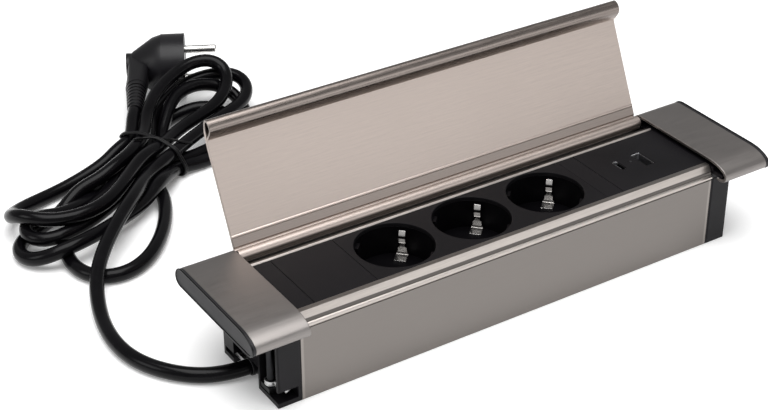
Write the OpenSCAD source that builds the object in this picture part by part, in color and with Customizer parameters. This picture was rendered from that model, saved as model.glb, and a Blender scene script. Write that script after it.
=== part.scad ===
// Built-in desk socket: an aluminium trough let into a desk, with three
// earthed socket outlets, a twin charging port, a hinged lid that rolls over
// the front edge, two fixed end covers and a mains lead with an angled plug.
// Origin: middle of the trough's underside. X along the desk edge, Y away
// from the user, Z up. The lid stands open, as it does in use.

/* [Trough] */
// half length of the aluminium trough
half_len = 122.2; // [119:0.1:122.3]
// wall thickness of the trough
wall_t = 1.8; // [1.5:0.1:2]
// thickness of the floor plate
floor_t = 1.5; // [1.2:0.1:1.5]

/* [Lid] */
// opening angle of the lid, closed to standing open
lid_angle = 115; // [0:1:115]
// thickness of the lid plate
lid_t = 2; // [1.6:0.1:2]
// reach of the lid from the hinge line to the front of its nose
lid_reach = 66.3; // [66:0.1:67.5]
// radius of the hinge pins
pin_r = 1.25; // [1:0.05:1.3]

/* [Outlets] */
// diameter of the round recesses
recess_d = 39.2; // [38:0.1:39.2]
// depth of the round recesses
recess_h = 17.5; // [15:0.5:17.5]
// distance from one recess to the next
pitch = 44.8; // [43:0.1:44.8]
// diameter of the contact pin holes
hole_d = 5.2; // [5:0.1:5.4]
// spacing of the contact pins
pin_gap = 19; // [18.8:0.1:19.2]

/* [Lead] */
// diameter of the mains lead
cord_d = 7.6; // [6:0.1:7.6]

/* [Hidden] */
$fn = 48;
s2 = sqrt(2) / 2;
top_z = 46.2;                  // face of the inserts
hy = 32.6; hz = 46.2;          // hinge line
mid_x = -9.3;                  // middle recess
cy = 1.2;                      // recess centre line
cx = [mid_x - pitch, mid_x, mid_x + pitch];
rec_z = top_z - recess_h;      // floor of the recesses
cup_z = rec_z - 3;             // underside of the recess cups
ex = 122.4;                    // inner face of the end housings
ox = 134.9;                    // outer face of the end housings
cap_x = 150;                   // outer end of the end covers
ax = 131.4; ay = -13.4;        // clamp screw axis
plug_at = [-25.2, 278, 18.5];  // middle of the plug's face
plug_a = -27.6;                // direction of the plug's pins
hank_a = [-163, 158];          // middle of the hank's near end
hank_b = [-22, 236];           // middle of the hank's far end
hank_r = 22;
hank_top = 24;

lead_route = [[-118, 3, 5.5], [-126, 3, 5.5], [-134, 3.4, 5.3], [-144, 6, 4.4], [-154, 10, 4],
    [-163, 18, 4], [-170, 28, 4], [-175, 38, 4], [-177, 50, 4], [-177, 62, 4],
    [-175, 74, 4], [-172, 84, 6], [-168, 94, 10], [-162, 103, 13], [-154, 112, 15],
    [-145, 122, 17], [-135, 132, 19], [-124, 144, 20], [-113, 156, 20], [-104, 166, 19]];
loop_route = [[-90, 176, 4], [-94, 166, 4], [-100, 154, 4], [-108, 141, 4], [-117, 128, 4],
    [-127, 117, 4], [-137, 109, 4], [-147, 106, 4], [-156, 108, 4], [-162, 114, 4],
    [-165, 122, 4], [-166, 131, 4], [-165, 141, 4]];
tail_route = [[-77, 242, 18.5], [-80, 236, 18.5], [-83, 229, 18], [-87, 221, 17]];

alu = [0.66, 0.63, 0.60];
cap_grey = [0.45, 0.44, 0.42];
black = [0.09, 0.09, 0.10];
dark = [0.16, 0.16, 0.17];
zinc = [0.78, 0.78, 0.80];
brass = [0.80, 0.66, 0.36];

// ---- helpers ----
function unit(v) = v / norm(v);
function tang(p, i) = unit(p[min(i + 1, len(p) - 1)] - p[max(i - 1, 0)]);
function ring(p, i, r, n) = let (t = tang(p, i), u = unit(cross(t, [0, 0, 1])), v = cross(u, t))
    [for (k = [0 : n - 1]) p[i] + r * (cos(360 * k / n) * u + sin(360 * k / n) * v)];
function flat2(l) = [for (a = l) for (b = a) b];

// round tube along a list of points
module tube(p, r, n = 10) {
    m = len(p);
    polyhedron(
        points = flat2([for (i = [0 : m - 1]) ring(p, i, r, n)]),
        faces = concat([[for (k = [n - 1 : -1 : 0]) k]],
            [for (i = [0 : m - 2]) for (k = [0 : n - 1])
                [i * n + k, i * n + (k + 1) % n, (i + 1) * n + (k + 1) % n, (i + 1) * n + k]],
            [[for (k = [0 : n - 1]) (m - 1) * n + k]]));
}

// smooth curve through control points, q steps to each span
function cr1(a, b, c, d, t) = 0.5 * ((2 * b) + (c - a) * t + (2 * a - 5 * b + 4 * c - d) * t * t
    + (3 * b - a - 3 * c + d) * t * t * t);
function spline(p, q) = concat([for (i = [0 : len(p) - 2]) for (k = [0 : q - 1])
    cr1(p[max(i - 1, 0)], p[i], p[i + 1], p[min(i + 2, len(p) - 1)], k / q)], [p[len(p) - 1]]);
function nrm(p, i) = let (t = unit(p[min(i + 1, len(p) - 1)] - p[max(i - 1, 0)])) [t[1], -t[0]];
// strip of thickness t on the right-hand side of an open line
function band(p, t) = concat(p, [for (i = [len(p) - 1 : -1 : 0]) p[i] + t * nrm(p, i)]);
function arc2(c, r, a0, a1, n) = [for (k = [0 : n]) c + r * [cos(a0 + (a1 - a0) * k / n), sin(a0 + (a1 - a0) * k / n)]];

// extrusion along X of a section drawn as [Y, Z]
module along_x(x0, x1) translate([x0, 0, 0]) rotate([90, 0, 90]) linear_extrude(height = x1 - x0) children();
module both_sides() { children(); mirror([1, 0, 0]) children(); }
// frame of recess i: x along the pin line, y toward the far earth clip
module at_cup(i) translate([cx[i], cy, 0]) rotate([0, 0, -45]) children();

// ---- trough ----
module front_section() polygon([
    [-26, 0], [-26, 38.5], [-25.6, 38.7], [-25.6, 39.0], [-26.1, 39.2], [-26.5, 39.8], [-26.5, 40.6],
    [-26.1, 41.2], [-25.4, 41.5], [-25.4, 43.2], [-25.2, 43.5], [-23.0, 46.5], [-20.3, 46.5],
    [-20.3, 44], [-19.5, 44], [-19.5, 43.1], [-22.0, 43.1], [-26 + wall_t, 40.4],
    [-26 + wall_t, 39], [-19.8, 39], [-19.8, 32], [-26 + wall_t, 32],
    [-26 + wall_t, floor_t + 1.8], [-20.5, floor_t + 1.8], [-20.5, floor_t], [-26 + wall_t, floor_t],
    [-26 + wall_t, 0]]);
module rear_section() polygon([
    [26, 0], [26, 40.3], [36.4, 40.3], [36.8, 40.7], [36.8, 41.5], [36.4, 41.9], [26, 41.9], [26, 45.1], [25.7, 45.5], [23.4, 45.5], [23.2, 46.6], [22.7, 46.7], [22.0, 46.0],
    [22.0, 44], [21.75, 44], [21.75, 43.1], [26 - wall_t, 41.4],
    [26 - wall_t, 39], [21.8, 39], [21.8, 32], [26 - wall_t, 32],
    [26 - wall_t, floor_t + 1.8], [20.5, floor_t + 1.8], [20.5, floor_t], [26 - wall_t, floor_t],
    [26 - wall_t, 0]]);
// screw ports run the whole length of both rails
module port_hole(y) translate([-half_len - 1, y, 35.5]) rotate([0, 90, 0]) cylinder(r = 1.5, h = 2 * half_len + 2);
module front_rail() color(alu) difference() {
    along_x(-half_len, half_len) front_section();
    port_hole(-22.4);
}
module rear_rail() color(alu) difference() {
    along_x(-half_len, half_len) rear_section();
    port_hole(23.9);
}
module floor_plate() color(alu) difference() {
    translate([-122, -26 + wall_t, 0]) cube([244, 52 - 2 * wall_t, floor_t]);
    for (x = [70 : 6 : 112]) translate([x, -9, -1]) cube([2.4, 20, floor_t + 2]);
    // notch under the lead's sleeve
    translate([-123, -2.3, -1]) cube([13.4, 10.6, floor_t + 2]);
}

// ---- end housings ----
module end_housing(lead) difference() {
    union() {
        // wall that closes the trough
        translate([ex, -26, 0]) cube([1.8, 52, 46]);
        // front column, open on its outer side for the claw
        difference() {
            translate([ex, -26, 0]) cube([ox - ex, 1.6, 42.4]);
            // gap under the front panel, where the claw shows
            if (lead) translate([ex + 1, -27, 2.5]) cube([ox - ex, 3, 6]);
        }
        // raised panel on the front, round at its lower corners
        translate([0, -25.9, 0]) rotate([90, 0, 0]) linear_extrude(height = 0.35) {
            translate([ex + 0.9, lead ? 11.2 : 3.4]) square([ox - ex - 1.6, lead ? 28 : 35.8]);
            translate([ex + 3.3, lead ? 8.8 : 1]) square([ox - ex - 6.4, 6]);
            for (x = [ex + 3.3, ox - 3.1]) translate([x, lead ? 11.2 : 3.4]) circle(r = 2.4);
        }
        translate([ex, -9.1, 0]) cube([ox - ex, 1.6, 42.4]);
        translate([ex, -26, 0]) cube([ox - ex, 18.5, 2.5]);
        // rear column
        translate([ex, 16.3, 0]) cube([ox - ex, 9.7, 42.4]);
        // bridge over the notch, and its outer wall
        translate([ox - 1.6, -7.6, 12]) cube([1.6, 24, 30.4]);
        // flange that carries the end cover
        translate([ex, -33, 42.4]) cube([149.4 - ex, 68.6, 2]);
        // hinge post
        translate([ex + 0.2, 30.6, 44.3]) cube([8, 3.2, 1.9]);
        translate([ex + 0.2, hy, hz]) rotate([0, 90, 0]) cylinder(r = 1.7, h = 8);
    }
    // lead notch or blind notch in the inner wall
    if (lead) {
        translate([ex - 1, 3, 5.5]) rotate([0, 90, 0]) cylinder(r = 5.3, h = 4);
        translate([ex - 1, -2.3, -1]) cube([4, 10.6, 6.5]);
    } else translate([ex - 1, -4, 8]) cube([4, 14, 8]);
    // clamp screw: hole in the flange and pivot in the base
    translate([ax, ay, 41]) cylinder(r = 2.06, h = 5);
    translate([ax, ay, 0.8]) cylinder(r = 2.06, h = 5);
    // hinge pin bore
    translate([ex - 1, hy, hz]) rotate([0, 90, 0]) cylinder(r = pin_r, h = 12);
    // housing screws
    for (y = [-22.4, 23.9]) translate([ex - 1, y, 35.5]) rotate([0, 90, 0]) cylinder(r = 1.5, h = 14);
    translate([ex + 1.8, 23.9, 35.5]) rotate([0, 90, 0]) cylinder(r = 2.8, h = 14);
    translate([ex + 1.8, -22.4, 35.5]) rotate([0, 90, 0]) cylinder(r = 2.8, h = 2.3);
    // pocket for the rear foot
    translate([ox - 7, 15, 2.5]) cube([8, 9.2, 2.6]);
    translate([ex + 3.4, 15, 8]) cube([ox - ex - 5.4, 9.2, 24]);
}
module end_right() color(black) end_housing(false);
module end_left() color(black) mirror([1, 0, 0]) end_housing(true);

// ---- end covers ----
cap_line = concat([[30.4, 40.0]], spline([[33.8, 40.0], [35.4, 40.25], [36.8, 41.1], [37.8, 42.4], [38.1, 44.2], [37.6, 46.0], [36.3, 47.8],
    [34.2, 49.2], [31.6, 49.8]], 4));
nose_pts = [[-22.8, 49.8], [-26.8, 49.5], [-29.6, 48.9], [-32.0, 48.1], [-34.2, 47.0], [-35.4, 46.0],
    [-36.1, 44.9], [-36.2, 43.6], [-35.8, 42.3], [-34.7, 41.2], [-33.2, 40.5], [-31.2, 40.2], [-29.2, 40.8]];
cap_full = concat(cap_line, spline(nose_pts, 4));
module cap_section() polygon([for (q = band([for (i = [len(cap_full) - 1 : -1 : 0]) cap_full[i]], 1.6)) q]);
module cap_right() color(cap_grey) along_x(ex - 0.1, cap_x) cap_section();
module cap_left() color(cap_grey) mirror([1, 0, 0]) along_x(ex - 0.1, cap_x) cap_section();
module cap_plate() along_x(cap_x, cap_x + 1.6) polygon(cap_full);
module cap_plate_right() color(black) cap_plate();
module cap_plate_left() color(black) mirror([1, 0, 0]) cap_plate();

// ---- inserts ----
iy0 = -19.9; iy1 = 21.6;
module insert_plate(x0, x1) translate([x0, iy0, 44]) cube([x1 - x0, iy1 - iy0, top_z - 44]);
module strip_left() color(dark) {
    insert_plate(-122, -110.8);
    translate([-120, -17, 40]) cube([7, 36, 4]);
}
module blank_panel() color(dark) {
    insert_plate(-110.6, -77);
    translate([-108, -17, 40]) cube([28, 1.6, 4]);
    translate([-108, 17.4, 40]) cube([28, 1.6, 4]);
}
module socket_fascia() color(dark) difference() {
    insert_plate(-76.8, 58.3);
    for (i = [0 : 2]) translate([cx[i], cy, 40]) cylinder(r = recess_d / 2, h = 10, $fn = 96);
}
module socket_cup(i) color(dark) difference() {
    union() {
        translate([cx[i], cy, cup_z]) cylinder(r = 20.5, h = 44 - cup_z, $fn = 96);
        translate([cx[i] - 22, cy - 12, cup_z]) cube([44, 24, 44 - cup_z]);
    }
    difference() {
        translate([cx[i], cy, rec_z]) cylinder(r = recess_d / 2, h = 30, $fn = 96);
        // guide ribs at the ends of the pin line
        at_cup(i) for (m = [0, 1]) mirror([m, 0, 0])
            translate([17.4, -2.6, rec_z - 1]) cube([3, 5.2, 44 - rec_z]);
    }
    // contact pin holes
    at_cup(i) for (s = [-1, 1]) translate([s * pin_gap / 2, 0, cup_z - 1]) cylinder(r = hole_d / 2, h = 6);
    // slots for the stems of the earth clips
    at_cup(i) for (s = [-1, 1]) translate([-1.4, s * 14.5 - 0.6, cup_z - 1]) cube([2.8, 1.2, 6]);
}
module socket_cup_1() socket_cup(0);
module socket_cup_2() socket_cup(1);
module socket_cup_3() socket_cup(2);
module strip_mid() color(dark) {
    insert_plate(58.5, 68.7);
    translate([60, -17, 40]) cube([7, 36, 4]);
}
module stadium(l, w) hull() for (s = [-1, 1]) translate([0, s * (l - w) / 2]) circle(r = w / 2);
module usb_face() color(dark) difference() {
    insert_plate(68.9, 122);
    translate([97.8, 0.2, 40]) translate([-2.8, -6.6, 0]) cube([5.6, 13.2, 10]);
    translate([83.4, 1.6, 40]) translate([-1.6, -3, 0]) cube([3.2, 6, 10]);
    translate([83.4, 1.6, 40]) for (s = [-3, 3]) translate([0, s, 0]) cylinder(r = 1.6, h = 10);
    translate([90.9, 1.6, 40]) cylinder(r = 0.9, h = 10);
}

// ---- contacts ----
// one earth clip on the far side of a recess, drawn along +Y of the recess frame
module earth_clip() {
    z = rec_z;
    // foot on the floor of the recess
    translate([-3, 11.8, z]) cube([6, 5.6, 0.8]);
    // riser that narrows in steps
    intersection() {
        translate([-2.9, 0, 0]) rotate([90, 0, 90]) linear_extrude(height = 5.8)
            polygon([[16.8, z], [18.9, z], [19.1, z + 0.9], [18.3, z + 7.6], [17.6, z + 7.6], [17.9, z + 0.8], [16.8, z + 0.8]]);
        translate([0, 21, 0]) rotate([90, 0, 0]) linear_extrude(height = 6)
            polygon([[-2.9, z - 0.1], [2.9, z - 0.1], [2.9, z + 1.9], [2.2, z + 2.3], [2.2, z + 4.6], [1.3, z + 5.2], [1.3, z + 7.7],
                [-1.3, z + 7.7], [-1.3, z + 5.2], [-2.2, z + 4.6], [-2.2, z + 2.3], [-2.9, z + 1.9]]);
    }
    // narrow tongue that bulges inward
    translate([-1.6, 0, 0]) rotate([90, 0, 90]) linear_extrude(height = 3.2)
        polygon([[18.25, z + 7.4], [17.55, z + 7.4], [16.0, z + 10.8], [16.2, z + 12.0], [17.6, z + 14.4],
            [18.3, z + 14.4], [17.0, z + 12.0], [16.9, z + 10.9]]);
    // stem down to the earth bar
    translate([-1.2, 14.1, 21.3]) cube([2.4, 0.8, z - 21.3 + 0.1]);
}
module earth_clips() color(zinc) for (i = [0 : 2]) at_cup(i) for (m = [0, 1]) mirror([0, m, 0]) earth_clip();
module earth_bar() color(brass) {
    for (y = [cy + 10.25 - 1.3, cy - 10.25 - 1.3]) translate([-82, y, 20.1]) cube([128, 2.6, 1.2]);
    translate([-84, cy - 11.55, 20.1]) cube([3, 23.1, 1.2]);
}
module shutter_guides() color(dark) for (i = [0 : 2]) at_cup(i) for (m = [0, 1]) mirror([0, m, 0]) {
    translate([-17, 5.4, 22.2]) cube([34, 2, cup_z - 22.2]);
    translate([-17, 4.2, 22.2]) cube([34, 1.3, 1]);
}
module shutter(i) color([0.75, 0.30, 0.12]) at_cup(i) difference() {
    translate([-18.6, -5.1, 23.5]) cube([32.6, 10.2, 1.6]);
    for (s = [-1, 1]) translate([s * pin_gap / 2 - 5.5, 0, 22]) cylinder(r = 2.9, h = 5);
}
module shutter_1() shutter(0);
module shutter_2() shutter(1);
module shutter_3() shutter(2);
ly = cy - pin_gap / 2 * s2;    // line of the live pins
ny = cy + pin_gap / 2 * s2;    // line of the neutral pins
module contact_tray() color([0.24, 0.24, 0.25]) difference() {
    translate([-78, -17.5, floor_t]) cube([136, 37, 20 - floor_t]);
    translate([-79, ly - 3.8, 5]) cube([138, 7.6, 20]);
    translate([-79, ny - 3.8, 5]) cube([138, 7.6, 20]);
}
module busbar(y, s) color(brass) {
    translate([-82, y - 3, 5]) cube([128, 6, 1]);
    for (i = [0 : 2]) translate([cx[i] + s * pin_gap / 2 * s2, y, 0]) for (m = [0, 1]) mirror([0, m, 0])
        translate([-3, 2.45, 5.9]) cube([6, 0.6, 13.4]);
}
module busbar_l() busbar(ly, 1);
module busbar_n() busbar(ny, -1);

// ---- charging module ----
module usb_a_shell() color(zinc) translate([97.8, 0.2, 0]) difference() {
    translate([-2.7, -6.5, 31.6]) cube([5.4, 13, 14.4]);
    translate([-2.35, -6.15, 32]) cube([4.7, 12.3, 20]);
}
module usb_c_shell() color(zinc) translate([83.4, 1.6, 0]) difference() {
    union() {
        translate([-1.5, -3, 36]) cube([3, 6, 10]);
        for (s = [-3, 3]) translate([0, s, 36]) cylinder(r = 1.5, h = 10);
    }
    translate([-1.2, -3, 36.4]) cube([2.4, 6, 20]);
    for (s = [-3, 3]) translate([0, s, 36.4]) cylinder(r = 1.2, h = 20);
}
module usb_tongues() color(dark) {
    translate([95.5, -5.4, 32]) cube([1.8, 11.2, 12]);
    translate([83.05, -1.6, 36.4]) cube([0.7, 6.4, 8.4]);
}
module usb_pcb() color([0.05, 0.30, 0.16]) {
    translate([74, -14, 29.8]) cube([42, 30, 1.6]);
    translate([81.4, -3.2, 31.3]) cube([4, 9.6, 4.7]);
}
module usb_case() color(black) difference() {
    translate([71, -17, 18]) cube([49, 36, 26]);
    translate([72.5, -15.5, 19.5]) cube([46, 33, 25]);
}
module usb_power_unit() color([0.2, 0.2, 0.21]) difference() {
    translate([64, -17, floor_t]) cube([54, 36, 15]);
    for (x = [70 : 5 : 112]) translate([x, -10, 15]) cube([2, 22, 4]);
}
module led_pipe() color([0.85, 0.92, 1]) translate([90.9, 1.6, 0]) {
    translate([0, 0, 31.4]) cylinder(r = 0.8, h = 14.9);
}

// ---- wiring ----
module terminal_block() color([0.82, 0.82, 0.80]) difference() {
    translate([-104, -15.4, floor_t]) cube([16, 33, 17]);
    for (y = [-9, 1, 11]) {
        translate([-105, y, 8]) rotate([0, 90, 0]) cylinder(r = 1.9, h = 18);
        for (x = [-100, -92]) translate([x, y, 12]) cylinder(r = 2.3, h = 10);
        for (x = [-100, -92]) translate([x, y, 8]) cylinder(r = 1.3, h = 6);
    }
}
module terminal_screws() color(zinc) for (y = [-9, 1, 11]) for (x = [-100, -92]) translate([x, y, 0]) {
    difference() {
        translate([0, 0, 12]) cylinder(r = 2.2, h = 4);
        translate([-3, -0.4, 15]) cube([6, 0.8, 2]);
    }
    translate([0, 0, 9.9]) cylinder(r = 1.2, h = 2.2);
}
module conductors() color([0.35, 0.22, 0.14]) {
    tube([[-115, 1.6, 4.8], [-112, 1.6, 4.8], [-109, 0.6, 5.4], [-107, -3, 6.6], [-105.4, -7, 7.6], [-103.6, -9, 8], [-101, -9, 8]], 1.15, 8);
    tube([[-115, 3, 7.2], [-112, 3, 7.2], [-109, 2.6, 7.6], [-106, 1.4, 8], [-101, 1, 8]], 1.15, 8);
    tube([[-115, 4.4, 4.8], [-112, 4.4, 4.8], [-109, 5.2, 5.4], [-107, 7.6, 6.6], [-105.4, 10, 7.6], [-103.6, 11, 8], [-101, 11, 8]], 1.15, 8);
}
module feed_wires() color([0.30, 0.30, 0.45]) {
    tube([[-89, -9, 8], [-86, -9, 8], [-83.6, -8, 7.6], [-81, -6, 7.2], [-77, -5.6, 7.2]], 1.2, 8);
    tube([[-89, 11, 8], [-86, 11, 8], [-83.6, 10, 7.6], [-81, 8.4, 7.2], [-77, 8, 7.2]], 1.2, 8);
    tube([[-89, 1, 8], [-86.4, 1, 9], [-85.4, 1, 14], [-84.6, 1, 18], [-83, 1, 19.8]], 1.1, 8);
    tube([[44, -5.5, 7.2], [50, -5.4, 7.2], [56, -5, 8.6], [61, -4, 9], [64.4, -4, 9]], 1.2, 8);
    tube([[44, 7.9, 7.2], [50, 7.8, 7.2], [56, 7, 8.6], [61, 6, 9], [64.4, 6, 9]], 1.2, 8);
}
module cord_clamp() color(black) difference() {
    translate([-120, -7.5, floor_t]) cube([6, 21, 11.5]);
    translate([-121, 3, 5.5]) rotate([0, 90, 0]) cylinder(r = 4.3, h = 8);
    translate([-121, -1.3, -1]) cube([8, 8.6, 6.5]);
    for (y = [-4.6, 10.6]) translate([-117, y, 1]) cylinder(r = 1.3, h = 14);
}
module cord_clamp_screws() color(zinc) for (y = [-4.6, 10.6]) translate([-117, y, 0]) {
    translate([0, 0, floor_t]) cylinder(r = 1.3, h = 11.6);
    difference() {
        translate([0, 0, 13]) cylinder(r = 2.4, h = 1.6);
        translate([-3, -0.35, 13.9]) cube([6, 0.7, 2]);
    }
}
// tapered sleeve on the lead where it leaves the notch
module cord_gland() color(black) translate([-110, 3, 5.5]) rotate([0, -90, 0]) rotate_extrude()
    polygon(concat([[3.79, 0], [4.25, 0], [4.25, 10.5], [5.1, 10.6], [5.1, 15.6]],
        [for (k = [0 : 2]) for (q = [[4.2, 15.8 + 2.7 * k], [4.2, 16.8 + 2.7 * k], [4.75 - 0.1 * k, 16.9 + 2.7 * k], [4.65 - 0.1 * k, 18.4 + 2.7 * k]]) q],
        [[4.2, 24], [3.79, 24]]));
module end_screws() color(zinc) both_sides() for (y = [-22.4, 23.9]) translate([ex + 1.8, y, 35.5]) rotate([0, 90, 0]) {
    translate([0, 0, -12]) cylinder(r = 1.5, h = 12.1);
    difference() {
        cylinder(r = 2.6, h = 1.8);
        translate([-3, -0.4, 1]) cube([6, 0.8, 2]);
    }
}
module rear_feet() color(zinc) both_sides() {
    translate([ox - 6.9, 10, 2.6]) cube([5, 14.1, 2.4]);
}

// ---- clamps ----
module clamp_screw() color(zinc) {
    difference() {
        translate([ax, ay, 44.42]) cylinder(r = 3.3, h = 2.4);
        translate([ax - 0.5, ay - 4, 45.8]) cube([1, 8, 3]);
        translate([ax - 4, ay - 0.5, 45.8]) cube([8, 1, 3]);
    }
    translate([ax, ay, 0.9]) cylinder(r = 2, h = 43.6);
}
module clamp_nut() color(zinc) difference() {
    translate([ax - 3.3, ay - 4, 2.8]) cube([6.6, 8, 2.6]);
    translate([ax, ay, 2]) cylinder(r = 2.06, h = 5);
}
module clamp_claw() color(zinc) translate([ax, ay, 0]) difference() {
    intersection() {
        translate([0, 0, 5.5]) cylinder(r = 10.7, h = 2.6, $fn = 96);
        union() {
            translate([-6.8, -12, 5]) cube([5.4, 12, 4]);
            translate([-6.8, -4, 5]) cube([6.8, 4, 4]);
            translate([0, 0, 5]) cylinder(r = 3.2, h = 4);
        }
    }
    translate([0, 0, 5]) cylinder(r = 2.06, h = 5);
}
module clamp_screw_right() clamp_screw();
module clamp_nut_right() clamp_nut();
module clamp_claw_right() clamp_claw();
module clamp_screw_left() mirror([1, 0, 0]) clamp_screw();
module clamp_nut_left() mirror([1, 0, 0]) clamp_nut();
module clamp_claw_left() mirror([1, 0, 0]) clamp_claw();

// ---- lid, drawn closed as [distance in front of the hinge line, height above it] ----
ln = lid_reach;
lid_ctrl = [[ln - 13.0, 3.6], [ln - 9.2, 3.3], [ln - 6.4, 2.7], [ln - 4.1, 1.9], [ln - 2.0, 0.8], [ln - 0.8, -0.2],
    [ln - 0.1, -1.4], [ln, -2.4], [ln - 0.4, -3.5], [ln - 1.5, -4.5], [ln - 3.0, -5.1], [ln - 4.8, -5.2], [ln - 6.2, -4.6],
    [ln - 7.4, -3.3], [ln - 8.4, -1.8], [ln - 9.3, -0.4], [ln - 9.9, 0.6]];
// the rolled edge is thinner than the plate
lid_th = [for (i = [0 : 16]) lid_t * (i < 2 ? 1 : max(0.55, 1 - 0.08 * (i - 1)))];
lid_inner = spline([for (i = [16, 15, 14, 13, 12, 11, 10, 9, 7, 5, 4, 3, 2, 1, 0]) lid_ctrl[i] + lid_th[i] * nrm(lid_ctrl, i)], 3);
lid_outline = concat(arc2([0, 0], 3.6, 180, 90, 9), spline(lid_ctrl, 4), lid_inner,
    [[9.9, 3.6 - lid_t], [9.6, 3.3 - lid_t], [8.9, 3.3 - lid_t], [8.6, 3.6 - lid_t]],
    [[4.2, 3.6 - lid_t], [3.7, 4.0 - lid_t], [3.1, 4.0 - lid_t]], arc2([0, 0], 3.05, 32, -180, 26));
module lid_section() difference() {
    polygon(lid_outline);
    circle(r = pin_r + 0.06);
}
module lid() color([0.75, 0.71, 0.68]) translate([0, hy, hz]) rotate([-lid_angle, 0, 0]) mirror([0, 1, 0])
    along_x(-121.6, 121.6) lid_section();
module hinge_pins() color(zinc) both_sides()
    translate([ex - 9, hy, hz]) rotate([0, 90, 0]) cylinder(r = pin_r, h = 17);

// ---- lead and plug ----
module cord_lead() color(black) tube(lead_route, cord_d / 2);
module cord_loop() color(black) tube(loop_route, cord_d / 2);
module cord_tail() color(black) tube(tail_route, cord_d / 2);
hank_v = unit(hank_b - hank_a);
hank_ang = atan2(hank_v[1], hank_v[0]);
hank_l = norm(hank_b - hank_a);
module cord_hank() color(black) translate([hank_a[0], hank_a[1], 1.6]) rotate([0, 0, hank_ang]) {
    cylinder(r = hank_r, h = hank_top - 1.6, $fn = 64);
    translate([hank_l, 0, 0]) cylinder(r = hank_r, h = hank_top - 1.6, $fn = 64);
    translate([0, -hank_r, 0]) cube([hank_l, 2 * hank_r, hank_top - 1.6]);
}
module cord_tie() color(dark) translate([hank_a[0], hank_a[1], 0]) rotate([0, 0, hank_ang]) translate([80, 0, 0])
    difference() {
        translate([0, -hank_r - 1.4, 0.1]) cube([3, 2 * hank_r + 2.8, hank_top + 1.3]);
        translate([-1, -hank_r, 1.6]) cube([5, 2 * hank_r, hank_top - 1.6]);
    }
module at_plug() translate(plug_at) rotate([0, 0, plug_a]) children();
module disc_x(x0, x1, r) translate([x0, 0, 0]) rotate([0, 90, 0]) cylinder(r = r, h = x1 - x0, $fn = 32);
module plug_body() color(black) at_plug() {
    disc_x(-14, 0, 18.5);
    hull() {
        disc_x(-14.2, -14, 18.3);
        disc_x(-19.4, -19.2, 16.7);
        disc_x(-31.6, -31.4, 8.4);
    }
    hull() {
        disc_x(-33, -22, 7.8);
        translate([-28.6, -30.9, 0]) rotate([90, 0, 0]) cylinder(r = 6.4, h = 0.1, $fn = 32);
    }
    disc_x(-35.4, -32.8, 7.8);
}
module plug_pins() color(zinc) at_plug() for (s = [-1, 1]) translate([0, 0, s * 9.5]) {
    rotate([0, 90, 0]) cylinder(r = 2.4, h = 18.2);
    translate([18.2, 0, 0]) rotate([0, 90, 0]) cylinder(r1 = 2.4, r2 = 1.7, h = 0.8);
}
module plug_earth() color(zinc) at_plug() for (m = [0, 1]) mirror([0, m, 0]) translate([-9, 18.52, -2]) cube([9, 0.6, 4]);
module plug_relief() color(black) at_plug() translate([-28.6, -31, 0]) rotate([90, 0, 0]) rotate_extrude()
    polygon(concat([[3.79, 0], [6.2, 0]],
        [for (k = [0 : 6]) for (q = [[6.0 - 0.22 * k, 1.2 + 3.6 * k], [6.0 - 0.22 * k, 3.4 + 3.6 * k], [5.1 - 0.16 * k, 3.6 + 3.6 * k], [5.1 - 0.16 * k, 4.6 + 3.6 * k]]) q],
        [[4.2, 28], [3.79, 28]]));

front_rail();
rear_rail();
floor_plate();
end_left();
end_right();
cap_left();
cap_right();
cap_plate_left();
cap_plate_right();
strip_left();
blank_panel();
socket_fascia();
socket_cup_1();
socket_cup_2();
socket_cup_3();
strip_mid();
usb_face();
earth_clips();
earth_bar();
shutter_guides();
shutter_1();
shutter_2();
shutter_3();
contact_tray();
busbar_l();
busbar_n();
usb_a_shell();
usb_c_shell();
usb_tongues();
usb_pcb();
usb_case();
usb_power_unit();
led_pipe();
terminal_block();
terminal_screws();
conductors();
feed_wires();
cord_clamp();
cord_clamp_screws();
cord_gland();
end_screws();
rear_feet();
clamp_screw_left();
clamp_nut_left();
clamp_claw_left();
clamp_screw_right();
clamp_nut_right();
clamp_claw_right();
lid();
hinge_pins();
cord_lead();
cord_loop();
cord_tail();
cord_hank();
cord_tie();
plug_body();
plug_pins();
plug_earth();
plug_relief();
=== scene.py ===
import bpy, bmesh, math
from mathutils import Vector, Matrix


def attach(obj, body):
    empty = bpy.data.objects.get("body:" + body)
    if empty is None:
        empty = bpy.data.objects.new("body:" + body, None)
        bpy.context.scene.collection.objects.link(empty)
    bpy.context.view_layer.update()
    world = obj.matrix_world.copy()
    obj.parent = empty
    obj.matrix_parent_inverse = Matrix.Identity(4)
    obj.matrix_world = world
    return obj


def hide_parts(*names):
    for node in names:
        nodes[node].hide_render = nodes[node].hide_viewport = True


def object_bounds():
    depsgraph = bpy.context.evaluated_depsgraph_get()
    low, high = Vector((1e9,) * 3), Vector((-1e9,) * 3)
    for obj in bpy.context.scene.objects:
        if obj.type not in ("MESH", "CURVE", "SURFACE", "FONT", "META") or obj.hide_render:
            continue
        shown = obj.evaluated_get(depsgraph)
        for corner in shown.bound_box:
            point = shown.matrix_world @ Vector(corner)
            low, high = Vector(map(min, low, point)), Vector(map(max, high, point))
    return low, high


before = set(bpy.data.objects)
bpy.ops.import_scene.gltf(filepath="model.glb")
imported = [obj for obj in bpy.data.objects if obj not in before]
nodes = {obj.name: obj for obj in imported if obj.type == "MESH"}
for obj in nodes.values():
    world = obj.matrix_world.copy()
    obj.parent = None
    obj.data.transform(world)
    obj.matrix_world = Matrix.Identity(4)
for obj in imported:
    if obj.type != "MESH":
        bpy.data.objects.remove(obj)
scene = bpy.context.scene


def plain(b):
    return [[float(v) for v in p] for p in b]


size_cad = plain(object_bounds())

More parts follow.
